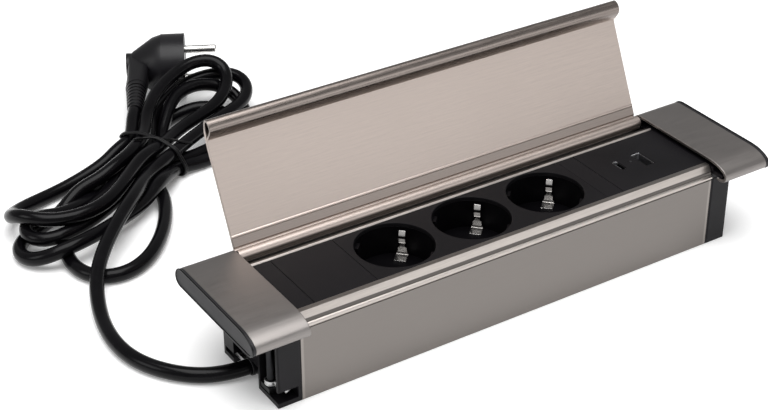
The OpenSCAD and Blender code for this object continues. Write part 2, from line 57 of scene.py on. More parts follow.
# ---------------------------------------------------------------- camera
cam_data = bpy.data.cameras.new("camera")
cam = bpy.data.objects.new("camera", cam_data)
scene.collection.objects.link(cam)
cam_data.sensor_width = 36.0
cam_data.sensor_fit = "HORIZONTAL"
cam_data.lens = 80.585
cam_data.clip_start = 0.05
cam_data.clip_end = 20.0
fwd = Vector((0.4615, 0.7200, -0.5182)).normalized()
right = Vector((0.8419, -0.5396, 0.0)).normalized()
up = right.cross(fwd).normalized()
roll = math.radians(-0.24)
right2 = math.cos(roll) * right + math.sin(roll) * up
up2 = -math.sin(roll) * right + math.cos(roll) * up
cam.matrix_world = Matrix((
    (right2.x, up2.x, -fwd.x, -0.42986),
    (right2.y, up2.y, -fwd.y, -0.57584),
    (right2.z, up2.z, -fwd.z, 0.48546),
    (0, 0, 0, 1)))
scene.camera = cam

# ---------------------------------------------------------------- the lead
CORD_D = 0.0076
CORD = [
    (-118.00, 3.00, 5.50), (-124.00, 2.97, 5.51), (-129.97, 3.26, 5.35), (-135.89, 4.01, 5.02),
    (-141.71, 5.35, 4.62), (-147.33, 7.32, 4.25), (-152.65, 9.97, 3.99), (-157.55, 13.31, 3.90),
    (-161.97, 17.28, 3.90), (-165.88, 21.77, 3.92), (-169.27, 26.70, 3.94), (-172.13, 31.98, 3.92),
    (-174.37, 37.55, 3.90), (-175.93, 43.34, 3.90), (-176.82, 49.29, 3.90), (-177.12, 55.35, 3.90),
    (-176.91, 61.46, 3.90), (-176.24, 67.59, 3.90), (-175.17, 73.69, 3.92), (-173.76, 79.73, 4.11),
    (-172.06, 85.71, 4.63), (-170.10, 91.61, 5.57), (-167.81, 97.40, 6.89), (-165.12, 103.03, 8.43),
    (-162.00, 108.44, 9.96), (-158.50, 113.61, 11.30), (-154.71, 118.55, 12.39), (-150.74, 123.32, 13.25),
    (-146.65, 127.93, 13.98), (-142.50, 132.40, 14.65), (-138.30, 136.72, 15.29), (-134.05, 140.92, 15.87),
    (-129.79, 145.04, 16.33), (-125.55, 149.12, 16.61), (-121.41, 153.21, 16.66), (-117.45, 157.34, 16.49),
    (-113.70, 161.51, 16.10), (-110.14, 165.68, 15.50), (-106.69, 169.75, 14.74), (-103.23, 173.60, 13.94),
    (-99.61, 177.17, 13.30), (-95.70, 180.43, 12.99), (-91.39, 183.32, 13.08), (-86.75, 186.04, 13.32),
    (-82.08, 188.92, 13.31), (-77.47, 191.97, 13.12), (-72.89, 195.14, 12.77), (-68.26, 198.31, 12.42),
    (-63.49, 201.37, 12.23), (-58.60, 204.24, 12.14), (-53.72, 206.97, 12.07), (-48.95, 209.60, 11.99),
    (-44.28, 212.12, 11.90), (-39.65, 214.50, 11.83), (-35.01, 216.73, 11.79), (-30.33, 218.85, 11.82),
    (-25.64, 220.95, 11.85), (-21.08, 223.21, 11.78), (-16.76, 225.74, 11.91), (-12.82, 228.63, 12.31),
    (-9.40, 231.95, 12.88), (-6.70, 235.74, 13.61), (-4.98, 239.88, 14.65), (-4.55, 244.23, 15.86),
    (-5.61, 248.51, 16.91), (-7.97, 252.31, 17.51), (-11.30, 255.39, 17.64), (-15.37, 257.68, 17.48),
    (-20.09, 259.20, 17.15), (-25.37, 259.98, 16.65), (-31.06, 259.99, 15.92), (-36.94, 259.10, 14.88),
    (-42.77, 257.28, 13.57), (-48.47, 254.59, 12.24), (-54.04, 251.17, 11.16), (-59.43, 247.13, 10.57),
    (-64.40, 242.52, 10.64), (-68.66, 237.34, 11.08), (-72.06, 231.84, 11.03), (-74.99, 226.66, 10.27),
    (-77.92, 222.09, 9.22), (-80.93, 217.99, 8.19), (-84.03, 214.16, 7.17), (-87.03, 210.31, 6.22),
    (-89.72, 206.23, 5.44), (-91.58, 201.53, 4.90), (-92.86, 196.27, 4.43), (-93.68, 190.52, 4.03),
    (-93.96, 184.58, 3.91), (-94.62, 178.86, 3.89), (-95.62, 173.06, 3.86), (-96.95, 167.22, 3.86),
    (-98.71, 161.61, 3.89), (-100.93, 156.13, 3.90), (-103.51, 150.76, 3.90), (-106.38, 145.51, 3.90),
    (-109.51, 140.36, 3.90), (-112.90, 135.36, 3.91), (-116.55, 130.52, 3.94), (-120.46, 125.87, 3.97),
    (-124.67, 121.50, 3.98), (-129.18, 117.50, 3.98), (-134.04, 114.06, 3.96), (-139.24, 111.41, 3.93),
    (-144.71, 109.84, 3.91), (-150.22, 109.67, 3.90), (-155.40, 111.09, 3.90), (-159.81, 114.08, 3.90),
    (-163.10, 118.36, 3.90), (-165.12, 123.53, 3.88), (-165.95, 129.18, 3.86), (-165.78, 135.02, 3.85),
    (-164.82, 140.80, 3.85), (-163.09, 146.23, 3.85), (-160.57, 151.29, 3.96), (-157.38, 155.79, 4.31),
    (-153.66, 159.64, 4.87), (-149.55, 162.96, 5.55), (-145.22, 165.94, 6.24), (-140.76, 168.79, 6.84),
    (-136.24, 171.68, 7.26), (-131.71, 174.71, 7.45), (-127.17, 177.94, 7.51), (-122.73, 181.41, 7.66),
    (-118.54, 185.24, 8.16), (-114.77, 189.55, 9.17), (-111.32, 194.36, 10.44), (-107.42, 199.76, 10.66),
    (-102.81, 204.90, 8.91), (-98.07, 209.78, 6.97), (-93.32, 215.08, 5.83), (-88.30, 220.20, 4.97),
    (-83.00, 225.00, 4.22), (-77.57, 229.48, 3.92), (-72.05, 233.53, 3.90), (-66.51, 237.13, 3.91),
    (-60.97, 240.13, 4.15), (-55.42, 242.43, 4.76), (-49.78, 243.81, 5.47), (-44.21, 244.18, 6.23),
    (-38.88, 243.46, 6.95), (-34.01, 241.57, 7.43), (-29.97, 238.53, 7.45), (-27.21, 234.52, 6.89),
    (-26.05, 229.91, 5.98), (-26.41, 225.08, 5.01), (-27.97, 220.21, 4.29), (-30.46, 215.46, 4.01),
    (-33.75, 211.00, 3.91), (-37.77, 207.03, 3.90), (-42.47, 203.71, 3.90), (-47.73, 201.14, 3.90),
    (-53.41, 199.29, 3.90), (-59.34, 197.99, 3.93), (-65.40, 197.07, 4.18), (-71.48, 196.28, 4.83),
    (-77.46, 195.30, 5.88), (-83.21, 193.88, 7.36), (-88.66, 192.11, 9.20), (-94.28, 190.12, 10.46),
    (-99.63, 187.88, 10.45), (-104.36, 184.92, 10.14), (-108.68, 181.34, 9.93), (-112.86, 177.55, 9.83),
    (-117.09, 173.82, 9.79), (-121.43, 170.21, 9.82), (-125.93, 166.74, 9.89), (-130.58, 163.44, 10.02),
    (-135.38, 160.36, 10.17), (-140.32, 157.53, 10.31), (-145.42, 155.00, 10.44), (-150.65, 152.79, 10.61),
    (-156.01, 150.93, 10.84), (-161.51, 149.51, 10.99), (-167.08, 149.15, 10.78), (-172.25, 150.90, 10.44),
    (-176.03, 154.85, 10.29), (-177.53, 160.11, 10.45), (-176.43, 165.46, 10.82), (-173.00, 169.72, 11.12),
    (-167.98, 171.85, 11.07), (-162.45, 172.03, 10.50), (-157.02, 172.03, 9.61), (-151.75, 172.93, 8.75),
    (-146.61, 174.78, 7.96), (-141.59, 177.34, 7.08), (-136.69, 180.47, 6.14), (-131.90, 184.06, 5.36),
    (-127.19, 187.91, 4.81), (-122.52, 191.80, 4.38), (-117.82, 195.39, 4.05), (-112.83, 197.81, 3.88),
    (-107.39, 198.33, 4.15), (-101.99, 197.87, 5.67), (-97.36, 198.07, 8.75), (-93.21, 199.10, 11.35),
    (-88.89, 200.52, 11.33), (-84.92, 202.70, 9.93), (-81.37, 205.63, 8.22), (-78.24, 209.22, 6.60),
    (-75.52, 213.32, 5.42), (-73.12, 217.73, 4.86), (-70.83, 222.12, 5.01), (-68.41, 226.17, 5.88),
    (-65.64, 229.75, 7.42), (-62.66, 233.24, 9.27), (-59.47, 236.83, 11.12), (-56.08, 240.59, 12.89),
    (-52.23, 244.23, 14.48), (-47.77, 247.43, 15.75), (-42.65, 249.91, 16.61), (-37.01, 251.39, 17.00),
    (-31.17, 251.82, 16.86), (-25.50, 251.23, 16.11), (-20.40, 249.63, 14.73), (-16.18, 247.14, 12.81),
    (-13.16, 243.91, 10.58), (-11.47, 240.13, 8.37), (-11.01, 235.95, 6.46), (-11.48, 231.42, 5.10),
    (-12.67, 226.63, 4.42), (-14.46, 221.70, 4.08), (-16.78, 216.76, 3.94), (-19.63, 211.92, 3.90),
    (-23.02, 207.33, 3.90), (-26.95, 203.11, 3.90), (-31.40, 199.38, 3.90), (-36.30, 196.20, 3.90),
    (-41.58, 193.65, 3.90), (-47.18, 191.71, 3.90), (-53.00, 190.34, 3.90), (-59.00, 189.42, 3.94),
    (-65.11, 188.74, 4.34), (-71.43, 188.29, 5.06), (-77.54, 187.10, 5.94), (-82.45, 183.43, 7.12),
    (-86.98, 179.00, 8.49), (-91.52, 174.66, 10.07), (-96.31, 170.53, 10.91), (-101.08, 166.89, 10.57),
    (-105.57, 163.68, 9.76), (-109.91, 160.71, 9.09), (-114.27, 157.88, 8.79), (-118.79, 155.12, 8.83),
    (-123.59, 152.41, 9.08), (-128.74, 149.71, 9.46), (-134.19, 146.98, 9.89), (-139.82, 144.27, 10.33),
    (-145.52, 141.64, 10.76), (-151.23, 139.27, 11.15), (-156.93, 137.41, 11.38), (-162.63, 136.37, 11.22),
    (-168.41, 136.41, 10.38), (-173.76, 137.70, 8.86), (-178.38, 140.40, 7.05), (-181.98, 144.37, 5.46),
    (-184.17, 149.18, 4.43), (-184.70, 154.35, 3.97), (-183.43, 159.43, 3.86), (-180.45, 164.06, 3.85),
    (-176.11, 167.95, 3.85), (-170.93, 171.08, 3.85), (-165.35, 173.77, 3.85), (-159.70, 176.36, 3.95),
    (-154.23, 179.05, 4.42), (-149.16, 181.73, 5.55), (-144.49, 184.10, 7.33), (-139.94, 185.80, 9.41),
    (-135.27, 186.61, 11.25), (-130.63, 186.85, 12.62), (-126.07, 187.14, 13.75), (-121.50, 187.87, 14.91),
    (-116.87, 189.19, 16.09), (-112.12, 191.13, 16.99), (-107.26, 193.63, 17.42), (-102.46, 196.61, 17.63),
    (-97.89, 200.09, 17.85), (-93.52, 203.91, 17.57), (-89.45, 207.96, 16.91), (-85.84, 212.45, 16.50),
    (-82.57, 217.25, 16.44), (-79.50, 222.26, 16.87), (-76.51, 227.44, 17.77), (-73.07, 232.50, 19.09),
    (-68.76, 237.13, 20.66), (-64.53, 241.71, 22.01), (-59.79, 245.80, 23.24), (-54.78, 249.41, 24.28),
    (-49.69, 252.58, 25.14), (-44.58, 255.28, 25.89), (-39.47, 257.44, 26.62), (-34.33, 258.91, 27.33),
    (-29.18, 259.47, 27.90), (-24.17, 258.94, 28.09), (-19.70, 257.29, 27.64), (-16.34, 254.66, 26.44),
    (-14.53, 251.38, 24.68), (-14.32, 247.78, 22.78), (-15.41, 244.06, 21.00), (-17.47, 240.32, 19.45),
    (-20.30, 236.63, 18.14), (-23.82, 233.07, 17.03), (-28.04, 229.74, 16.10), (-32.94, 226.71, 15.34),
    (-38.45, 223.99, 14.77), (-44.45, 221.45, 14.38), (-50.77, 218.92, 14.10), (-57.16, 216.13, 13.89),
    (-63.36, 212.87, 13.78), (-69.13, 209.08, 13.91), (-74.51, 204.97, 14.45), (-79.66, 200.80, 15.44),
    (-84.85, 196.82, 16.51), (-90.26, 193.31, 17.30), (-95.49, 189.90, 17.86), (-100.25, 186.47, 17.86),
    (-104.48, 183.00, 17.68), (-108.39, 179.45, 17.54), (-112.14, 175.82, 17.50), (-115.88, 172.13, 17.51),
    (-119.72, 168.43, 17.53), (-123.76, 164.77, 17.53), (-128.08, 161.27, 17.53), (-132.76, 158.06, 17.54),
    (-137.85, 155.33, 17.61), (-143.35, 153.29, 17.74), (-149.15, 152.18, 17.87), (-155.05, 152.18, 17.92),
    (-160.82, 153.35, 17.89), (-166.14, 155.62, 17.96), (-170.84, 158.91, 18.20), (-174.83, 163.20, 18.26),
    (-177.85, 168.35, 17.46), (-179.22, 173.58, 15.35), (-179.02, 178.69, 12.55), (-177.46, 183.57, 9.88),
    (-174.67, 188.10, 7.76), (-170.69, 192.11, 6.22), (-165.69, 195.43, 5.14), (-160.03, 198.04, 4.43),
    (-154.09, 200.07, 4.03), (-148.14, 201.74, 3.89), (-142.24, 203.22, 4.01), (-136.42, 204.58, 4.38),
    (-130.63, 205.84, 5.00), (-124.90, 207.02, 5.86), (-119.28, 208.15, 6.97), (-113.85, 209.34, 8.30),
    (-108.73, 210.79, 9.85), (-103.96, 212.56, 11.60), (-99.22, 214.26, 12.97), (-94.73, 216.25, 13.79),
    (-90.84, 219.08, 14.62), (-87.86, 223.13, 15.52), (-85.24, 227.58, 16.53), (-82.61, 232.17, 17.58),
    (-79.70, 236.64, 18.44), (-77.00, 242.00, 18.50),
]
TIE = [
    (-96.20, 220.65, 15.63), (-95.41, 219.28, 17.83), (-94.17, 217.10, 18.91), (-92.86, 214.80, 19.67),
    (-91.55, 212.50, 20.43), (-90.24, 210.19, 21.19), (-88.90, 207.83, 21.50), (-87.53, 205.44, 21.35),
    (-86.17, 203.05, 21.19), (-84.81, 200.66, 21.03), (-83.45, 198.26, 20.88), (-82.13, 195.94, 20.29),
    (-80.84, 193.68, 19.37), (-79.56, 191.42, 18.45), (-78.27, 189.17, 17.51), (-77.25, 187.38, 15.73),
    (-76.55, 186.18, 13.35), (-75.85, 184.98, 10.97), (-75.15, 183.78, 8.59), (-74.70, 183.04, 6.01),
    (-74.99, 183.64, 3.38), (-75.93, 185.40, 1.54), (-77.20, 187.76, 1.05), (-78.50, 190.19, 1.04),
    (-79.81, 192.62, 1.03), (-81.12, 195.04, 1.02), (-82.42, 197.47, 1.01), (-83.73, 199.90, 1.00),
    (-85.03, 202.33, 0.99), (-86.34, 204.76, 0.98), (-87.65, 207.19, 0.97), (-88.95, 209.61, 0.96),
    (-90.26, 212.04, 0.95), (-91.56, 214.47, 0.95), (-92.87, 216.89, 1.04), (-93.99, 218.99, 2.35),
    (-94.58, 220.13, 4.76), (-94.78, 220.55, 7.47), (-94.97, 220.96, 10.19), (-95.16, 221.38, 12.91),
    (-95.07, 221.28, 15.63), (-94.28, 219.91, 17.83), (-93.03, 217.73, 18.91), (-91.72, 215.43, 19.67),
    (-90.41, 213.12, 20.43), (-89.10, 210.82, 21.19), (-87.76, 208.46, 21.50), (-86.40, 206.07, 21.35),
    (-85.04, 203.68, 21.19), (-83.68, 201.28, 21.03), (-82.31, 198.89, 20.88), (-80.99, 196.57, 20.29),
    (-79.71, 194.31, 19.37), (-78.42, 192.05, 18.45), (-77.14, 189.80, 17.51), (-76.11, 188.01, 15.73),
    (-75.41, 186.81, 13.35), (-74.71, 185.61, 10.97), (-74.01, 184.41, 8.59), (-73.56, 183.67, 6.01),
    (-73.85, 184.27, 3.38), (-74.79, 186.03, 1.54), (-76.06, 188.39, 1.05), (-77.37, 190.82, 1.04),
    (-78.67, 193.25, 1.03), (-79.98, 195.67, 1.02), (-81.28, 198.10, 1.01), (-82.59, 200.53, 1.00),
    (-83.90, 202.96, 0.99), (-85.20, 205.39, 0.98), (-86.51, 207.81, 0.97), (-87.81, 210.24, 0.96),
    (-89.12, 212.67, 0.95), (-90.43, 215.10, 0.95), (-91.73, 217.52, 1.04), (-92.85, 219.62, 2.35),
    (-93.44, 220.76, 4.76), (-93.64, 221.17, 7.47), (-93.83, 221.59, 10.19), (-94.03, 222.01, 12.91),
    (-93.93, 221.90, 15.63),
]


def tube_piece(name, points, radius, sides=16, step=0.0022, round_end=False):
    """A smooth tube along a rounded line through the points, with frames that don't twist."""
    pts = [Vector(p) for p in points]
    n = len(pts)
    line = []
    for i in range(n - 1):
        p0 = pts[i - 1] if i else pts[0] * 2 - pts[1]
        p1, p2 = pts[i], pts[i + 1]
        p3 = pts[i + 2] if i + 2 < n else pts[-1] * 2 - pts[-2]
        k = max(1, int(round((p2 - p1).length / step)))
        for j in range(k):
            t = j / k
            line.append(0.5 * ((2 * p1) + (p2 - p0) * t + (2 * p0 - 5 * p1 + 4 * p2 - p3) * t * t
                               + (3 * p1 - p0 - 3 * p2 + p3) * t * t * t))
    line.append(pts[-1])
    m = len(line)
    tan = [(line[min(i + 1, m - 1)] - line[max(i - 1, 0)]).normalized() for i in range(m)]
    nor = tan[0].cross(Vector((0, 0, 1)))
    if nor.length < 1e-3:
        nor = tan[0].cross(Vector((0, 1, 0)))
    nor.normalize()
    bm = bmesh.new()
    rings = []
    for i in range(m):
        if i:
            nor = (nor - tan[i] * nor.dot(tan[i])).normalized()
        bi = tan[i].cross(nor)
        k = 1.0
        if round_end and m - 1 - i < 2:
            k = (0.55, 0.85)[m - 1 - i]
        rings.append([bm.verts.new(line[i] + radius * k * (math.cos(a) * nor + math.sin(a) * bi))
                      for a in [2 * math.pi * q / sides for q in range(sides)]])
    for r0, r1 in zip(rings, rings[1:]):
        for q in range(sides):
            f = bm.faces.new((r0[q], r0[(q + 1) % sides], r1[(q + 1) % sides], r1[q]))
            f.smooth = True
    bm.faces.new(list(reversed(rings[0])))
    bm.faces.new(rings[-1])
    bmesh.ops.recalc_face_normals(bm, faces=bm.faces)
    me = bpy.data.meshes.new(name)
    bm.to_mesh(me)
    bm.free()
    ob = bpy.data.objects.new(name, me)
    scene.collection.objects.link(ob)
    return ob, line


MM = 0.001
lead, lead_line = tube_piece("lead", [(x * MM, y * MM, z * MM) for x, y, z in CORD], CORD_D / 2, sides=20)
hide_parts("cord_lead", "cord_loop", "cord_tail", "cord_hank")
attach(lead, "base")

tie, tie_line = tube_piece("tie_wire", [(x * MM, y * MM, z * MM) for x, y, z in TIE], 0.00068, sides=10, step=0.0012, round_end=True)
tail = [(-95.9, 202.6, 22.3), (-93.4, 202.4, 22.2), (-90.5, 202.3, 21.6), (-87.0, 201.5, 21.4), (-84.1, 199.0, 21.2),
        (-80.2, 197.6, 20.2), (-76.2, 198.0, 18.8), (-72.7, 196.4, 17.6), (-69.5, 195.2, 16.4), (-66.4, 195.0, 14.9),
        (-63.6, 195.6, 13.8)]
tie_tail, _ = tube_piece("tie_wire_end", [(x * MM, y * MM, z * MM) for x, y, z in tail], 0.00068, sides=10, step=0.0012, round_end=True)
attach(tie_tail, "base")
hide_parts("cord_tie")
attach(tie, "base")


# ---------------------------------------------------------------- materials
class Mat:
    def __init__(self, name):
        self.m = bpy.data.materials.new(name)
        self.m.use_nodes = True
        self.nt = self.m.node_tree
        self.nt.nodes.clear()
        self.out = self.nt.nodes.new("ShaderNodeOutputMaterial")
        self.bsdf = self.nt.nodes.new("ShaderNodeBsdfPrincipled")
        self.nt.links.new(self.bsdf.outputs[0], self.out.inputs[0])
        self.tc = self.nt.nodes.new("ShaderNodeTexCoord")
        self.bump_from = None

    def link(self, a, b):
        self.nt.links.new(a, b)

    def set(self, **kw):
        names = {"metal": "Metallic", "rough": "Roughness", "spec": "Specular IOR Level", "coat": "Coat Weight",
                 "coat_rough": "Coat Roughness", "aniso": "Anisotropic", "trans": "Transmission Weight",
                 "emit": "Emission Strength", "ior": "IOR", "sheen": "Sheen Weight"}
        for k, v in kw.items():
            self.bsdf.inputs[names[k]].default_value = v

    def coords(self, scale):
        mp = self.nt.nodes.new("ShaderNodeMapping")
        mp.inputs["Scale"].default_value = scale
        self.link(self.tc.outputs["Object"], mp.inputs["Vector"])
        return mp.outputs[0]

    def noise(self, scale, detail=4.0, rough=0.5, freq=1.0, distort=0.0):
        n = self.nt.nodes.new("ShaderNodeTexNoise")
        n.inputs["Scale"].default_value = freq
        n.inputs["Detail"].default_value = detail
        n.inputs["Roughness"].default_value = rough
        n.inputs["Distortion"].default_value = distort
        self.link(self.coords(scale), n.inputs["Vector"])
        return n.outputs["Fac"]

    def voronoi(self, scale, feature="F1"):
        n = self.nt.nodes.new("ShaderNodeTexVoronoi")
        n.feature = feature
        n.inputs["Scale"].default_value = 1.0
        self.link(self.coords(scale), n.inputs["Vector"])
        return n.outputs["Distance"]

    def remap(self, val, a, b, c, d):
        n = self.nt.nodes.new("ShaderNodeMapRange")
        n.inputs[1].default_value = a
        n.inputs[2].default_value = b
        n.inputs[3].default_value = c
        n.inputs[4].default_value = d
        self.link(val, n.inputs[0])
        return n.outputs[0]

    def ramp(self, val, stops):
        n = self.nt.nodes.new("ShaderNodeValToRGB")
        cr = n.color_ramp
        while len(cr.elements) < len(stops):
            cr.elements.new(0.5)
        for e, (p, c) in zip(cr.elements, stops):
            e.position = p
            e.color = (*c, 1.0)
        self.link(val, n.inputs[0])
        return n.outputs[0]

    def mix(self, fac, a, b):
        n = self.nt.nodes.new("ShaderNodeMix")
        n.data_type = "RGBA"
        self.link(fac, n.inputs[0])
        for v, s in ((a, n.inputs[6]), (b, n.inputs[7])):
            if isinstance(v, tuple):
                s.default_value = (*v, 1.0)
            else:
                self.link(v, s)
        return n.outputs[2]

    def math(self, op, a, b):
        n = self.nt.nodes.new("ShaderNodeMath")
        n.operation = op
        for v, s in ((a, n.inputs[0]), (b, n.inputs[1])):
            if isinstance(v, (int, float)):
                s.default_value = v
            else:
                self.link(v, s)
        return n.outputs[0]

    def dist(self, vec, off):
        n = self.nt.nodes.new("ShaderNodeVectorMath")
        n.operation = "DOT_PRODUCT"
        self.link(self.tc.outputs["Object"], n.inputs[0])
        n.inputs[1].default_value = vec
        return self.math("ADD", n.outputs["Value"], off)

    def edges(self, lo=0.51, hi=0.56):
        g = self.nt.nodes.new("ShaderNodeNewGeometry")
        return self.remap(g.outputs["Pointiness"], lo, hi, 0.0, 1.0)

    def bump(self, val, dist, strength=1.0):
        n = self.nt.nodes.new("ShaderNodeBump")
        n.inputs["Strength"].default_value = strength
        n.inputs["Distance"].default_value = dist
        self.link(val, n.inputs["Height"])
        if self.bump_from is not None:
            self.link(self.bump_from, n.inputs["Normal"])
        self.bump_from = n.outputs[0]
        self.link(n.outputs[0], self.bsdf.inputs["Normal"])

    def color(self, v):
        if isinstance(v, tuple):
            self.bsdf.inputs["Base Color"].default_value = (*v, 1.0)
        else:
            self.link(v, self.bsdf.inputs["Base Color"])

    def rough(self, v):
        self.link(v, self.bsdf.inputs["Roughness"])


def shade(c, k):
    return tuple(min(1.0, x * k) for x in c)


def brushed(name, col, rough=0.36, grain=1.0, metal=1.0, along="x", wear=1.15, end_highlight=False, painted_light_bands=(), polish=None):
    m = Mat(name)
    long_, wide = 45.0, 1100.0
    sc = {"x": (long_, wide, wide), "y": (wide, long_, wide), "z": (wide, wide, long_)}[along]
    fine = tuple(s * 3.1 for s in sc)
    g1 = m.noise(sc, 5.0, 0.62)
    g2 = m.noise(fine, 3.0, 0.55)
    blot = m.noise((22.0, 22.0, 22.0), 3.0, 0.5)
    both = m.math("ADD", m.math("MULTIPLY", g1, 0.6), m.math("MULTIPLY", g2, 0.4))
    c = m.ramp(both, [(0.30, shade(col, 1 - 0.16 * grain)), (0.5, col), (0.72, shade(col, 1 + 0.14 * grain))])
    c = m.mix(m.remap(blot, 0.35, 0.7, 0.0, 0.35), c, shade(col, 0.93))
    c = m.mix(m.edges(0.52, 0.60), c, shade(col, wear))
    if end_highlight:
        # painted highlight on the last 2 mm at each end of the profile, a lighter band where the cut edge catches the
        # light
        sx = m.nt.nodes.new("ShaderNodeSeparateXYZ")
        m.link(m.tc.outputs["Object"], sx.inputs[0])
        end = m.remap(m.math("ABSOLUTE", sx.outputs[0], 0.0), 0.1206, 0.1209, 0.0, 0.7)
        c = m.mix(end, c, shade(col, 1.7))
    # painted highlight and painted shade strips across the profile, lighter or darker bands standing in for light:
    # (direction, offset, from, to, tone, softness)
    for vec, off, lo, hi, k, e in painted_light_bands:
        v = m.dist(vec, off)
        painted_band_mask = m.math("MULTIPLY", m.remap(v, lo - e, lo + e, 0.0, 1.0), m.remap(v, hi - e, hi + e, 1.0, 0.0))
        c = m.mix(painted_band_mask, c, m.ramp(both, [(0.30, shade(col, k * (1 - 0.16 * grain))), (0.5, shade(col, k)),
                                           (0.72, shade(col, k * (1 + 0.14 * grain)))]))
    m.color(c)
    r = m.remap(both, 0.3, 0.7, rough - 0.06, rough + 0.07)
    if polish:
        vec, off, lo, hi, less = polish
        v = m.dist(vec, off)
        r = m.math("SUBTRACT", r, m.remap(v, lo, hi, 0.0, less))
    m.rough(r)
    m.bump(both, 0.00003 * grain, 0.55)
    m.set(metal=metal)
    return m.m


def plated(name, col, rough=0.16, scratch=1.0, painted_light_bands=()):
    m = Mat(name)
    s1 = m.noise((40.0, 900.0, 700.0), 4.0, 0.6)
    s2 = m.noise((900.0, 60.0, 900.0), 4.0, 0.6)
    spot = m.noise((120.0, 120.0, 120.0), 4.0, 0.55)
    c = m.mix(m.remap(spot, 0.42, 0.7, 0.0, 0.6), col, shade(col, 0.8))
    # painted highlight and painted shade bands: (direction, offset, from, to, tone, softness)
    for vec, off, lo, hi, k, e in painted_light_bands:
        v = m.dist(vec, off)
        painted_band_mask = m.math("MULTIPLY", m.remap(v, lo - e, lo + e, 0.0, 1.0), m.remap(v, hi - e, hi + e, 1.0, 0.0))
        c = m.mix(painted_band_mask, c, m.ramp(spot, [(0.42, shade(col, k)), (0.7, shade(col, k * 0.85))]))
    m.color(c)
    sc = m.math("MAXIMUM", s1, s2)
    m.rough(m.remap(sc, 0.45, 0.75, rough, rough + 0.16 * scratch))
    m.bump(sc, 0.00002 * scratch, 0.4)
    m.set(metal=1.0)
    return m.m


def moulded(name, col, rough=0.48, grain=2600.0, depth=0.00004, spec=0.45, coat=0.0, wear=1.9):
    m = Mat(name)
    fine = m.noise((grain, grain, grain), 2.0, 0.5)
    cell = m.voronoi((grain * 0.6, grain * 0.6, grain * 0.6))
    slow = m.noise((35.0, 35.0, 35.0), 3.0, 0.5)
    both = m.math("ADD", m.math("MULTIPLY", fine, 0.7), m.math("MULTIPLY", cell, 0.3))
    c = m.ramp(slow, [(0.3, shade(col, 0.88)), (0.7, shade(col, 1.12))])
    c = m.mix(m.remap(both, 0.35, 0.75, 0.0, 0.35), c, shade(col, 1.5))
    c = m.mix(m.edges(0.53, 0.62), c, shade(col, wear))
    m.color(c)
    m.rough(m.remap(slow, 0.3, 0.7, rough - 0.05, rough + 0.06))
    m.bump(both, depth, 0.5)
    m.set(spec=spec, coat=coat, coat_rough=0.2)
    return m.m


def sheath(name):
    m = Mat(name)
    slow = m.noise((60.0, 60.0, 60.0), 4.0, 0.55)
    fine = m.noise((900.0, 900.0, 900.0), 3.0, 0.55)
    col = (0.0021, 0.0019, 0.0025)
    c = m.ramp(slow, [(0.32, shade(col, 0.75)), (0.7, shade(col, 1.4))])
    c = m.mix(m.remap(fine, 0.6, 0.8, 0.0, 0.5), c, (0.008, 0.008, 0.009))
    m.color(c)
    m.rough(m.remap(slow, 0.3, 0.7, 0.17, 0.27))
    m.bump(m.math("ADD", m.math("MULTIPLY", slow, 0.8), m.math("MULTIPLY", fine, 0.2)), 0.00012, 0.5)
    m.set(spec=0.13)
    return m.m


def board():
    m = Mat("board")
    tr = m.noise((420.0, 420.0, 420.0), 2.0, 0.4)
    c = m.ramp(tr, [(0.45, (0.02, 0.12, 0.05)), (0.52, (0.03, 0.2, 0.09)), (0.6, (0.025, 0.15, 0.07))])
    m.color(c)
    m.rough(m.remap(tr, 0.4, 0.6, 0.3, 0.5))
    m.bump(tr, 0.00004, 0.5)
    return m.m


def lens():
    m = Mat("light_pipe")
    n = m.noise((1500.0, 1500.0, 1500.0), 2.0, 0.5)
    m.color(m.ramp(n, [(0.3, (0.010, 0.010, 0.012)), (0.7, (0.018, 0.018, 0.020))]))
    m.rough(m.remap(n, 0.3, 0.7, 0.18, 0.34))
    m.bump(n, 0.00002, 0.5)
    m.set(trans=0.2, spec=0.2, coat=0.05)
    return m.m


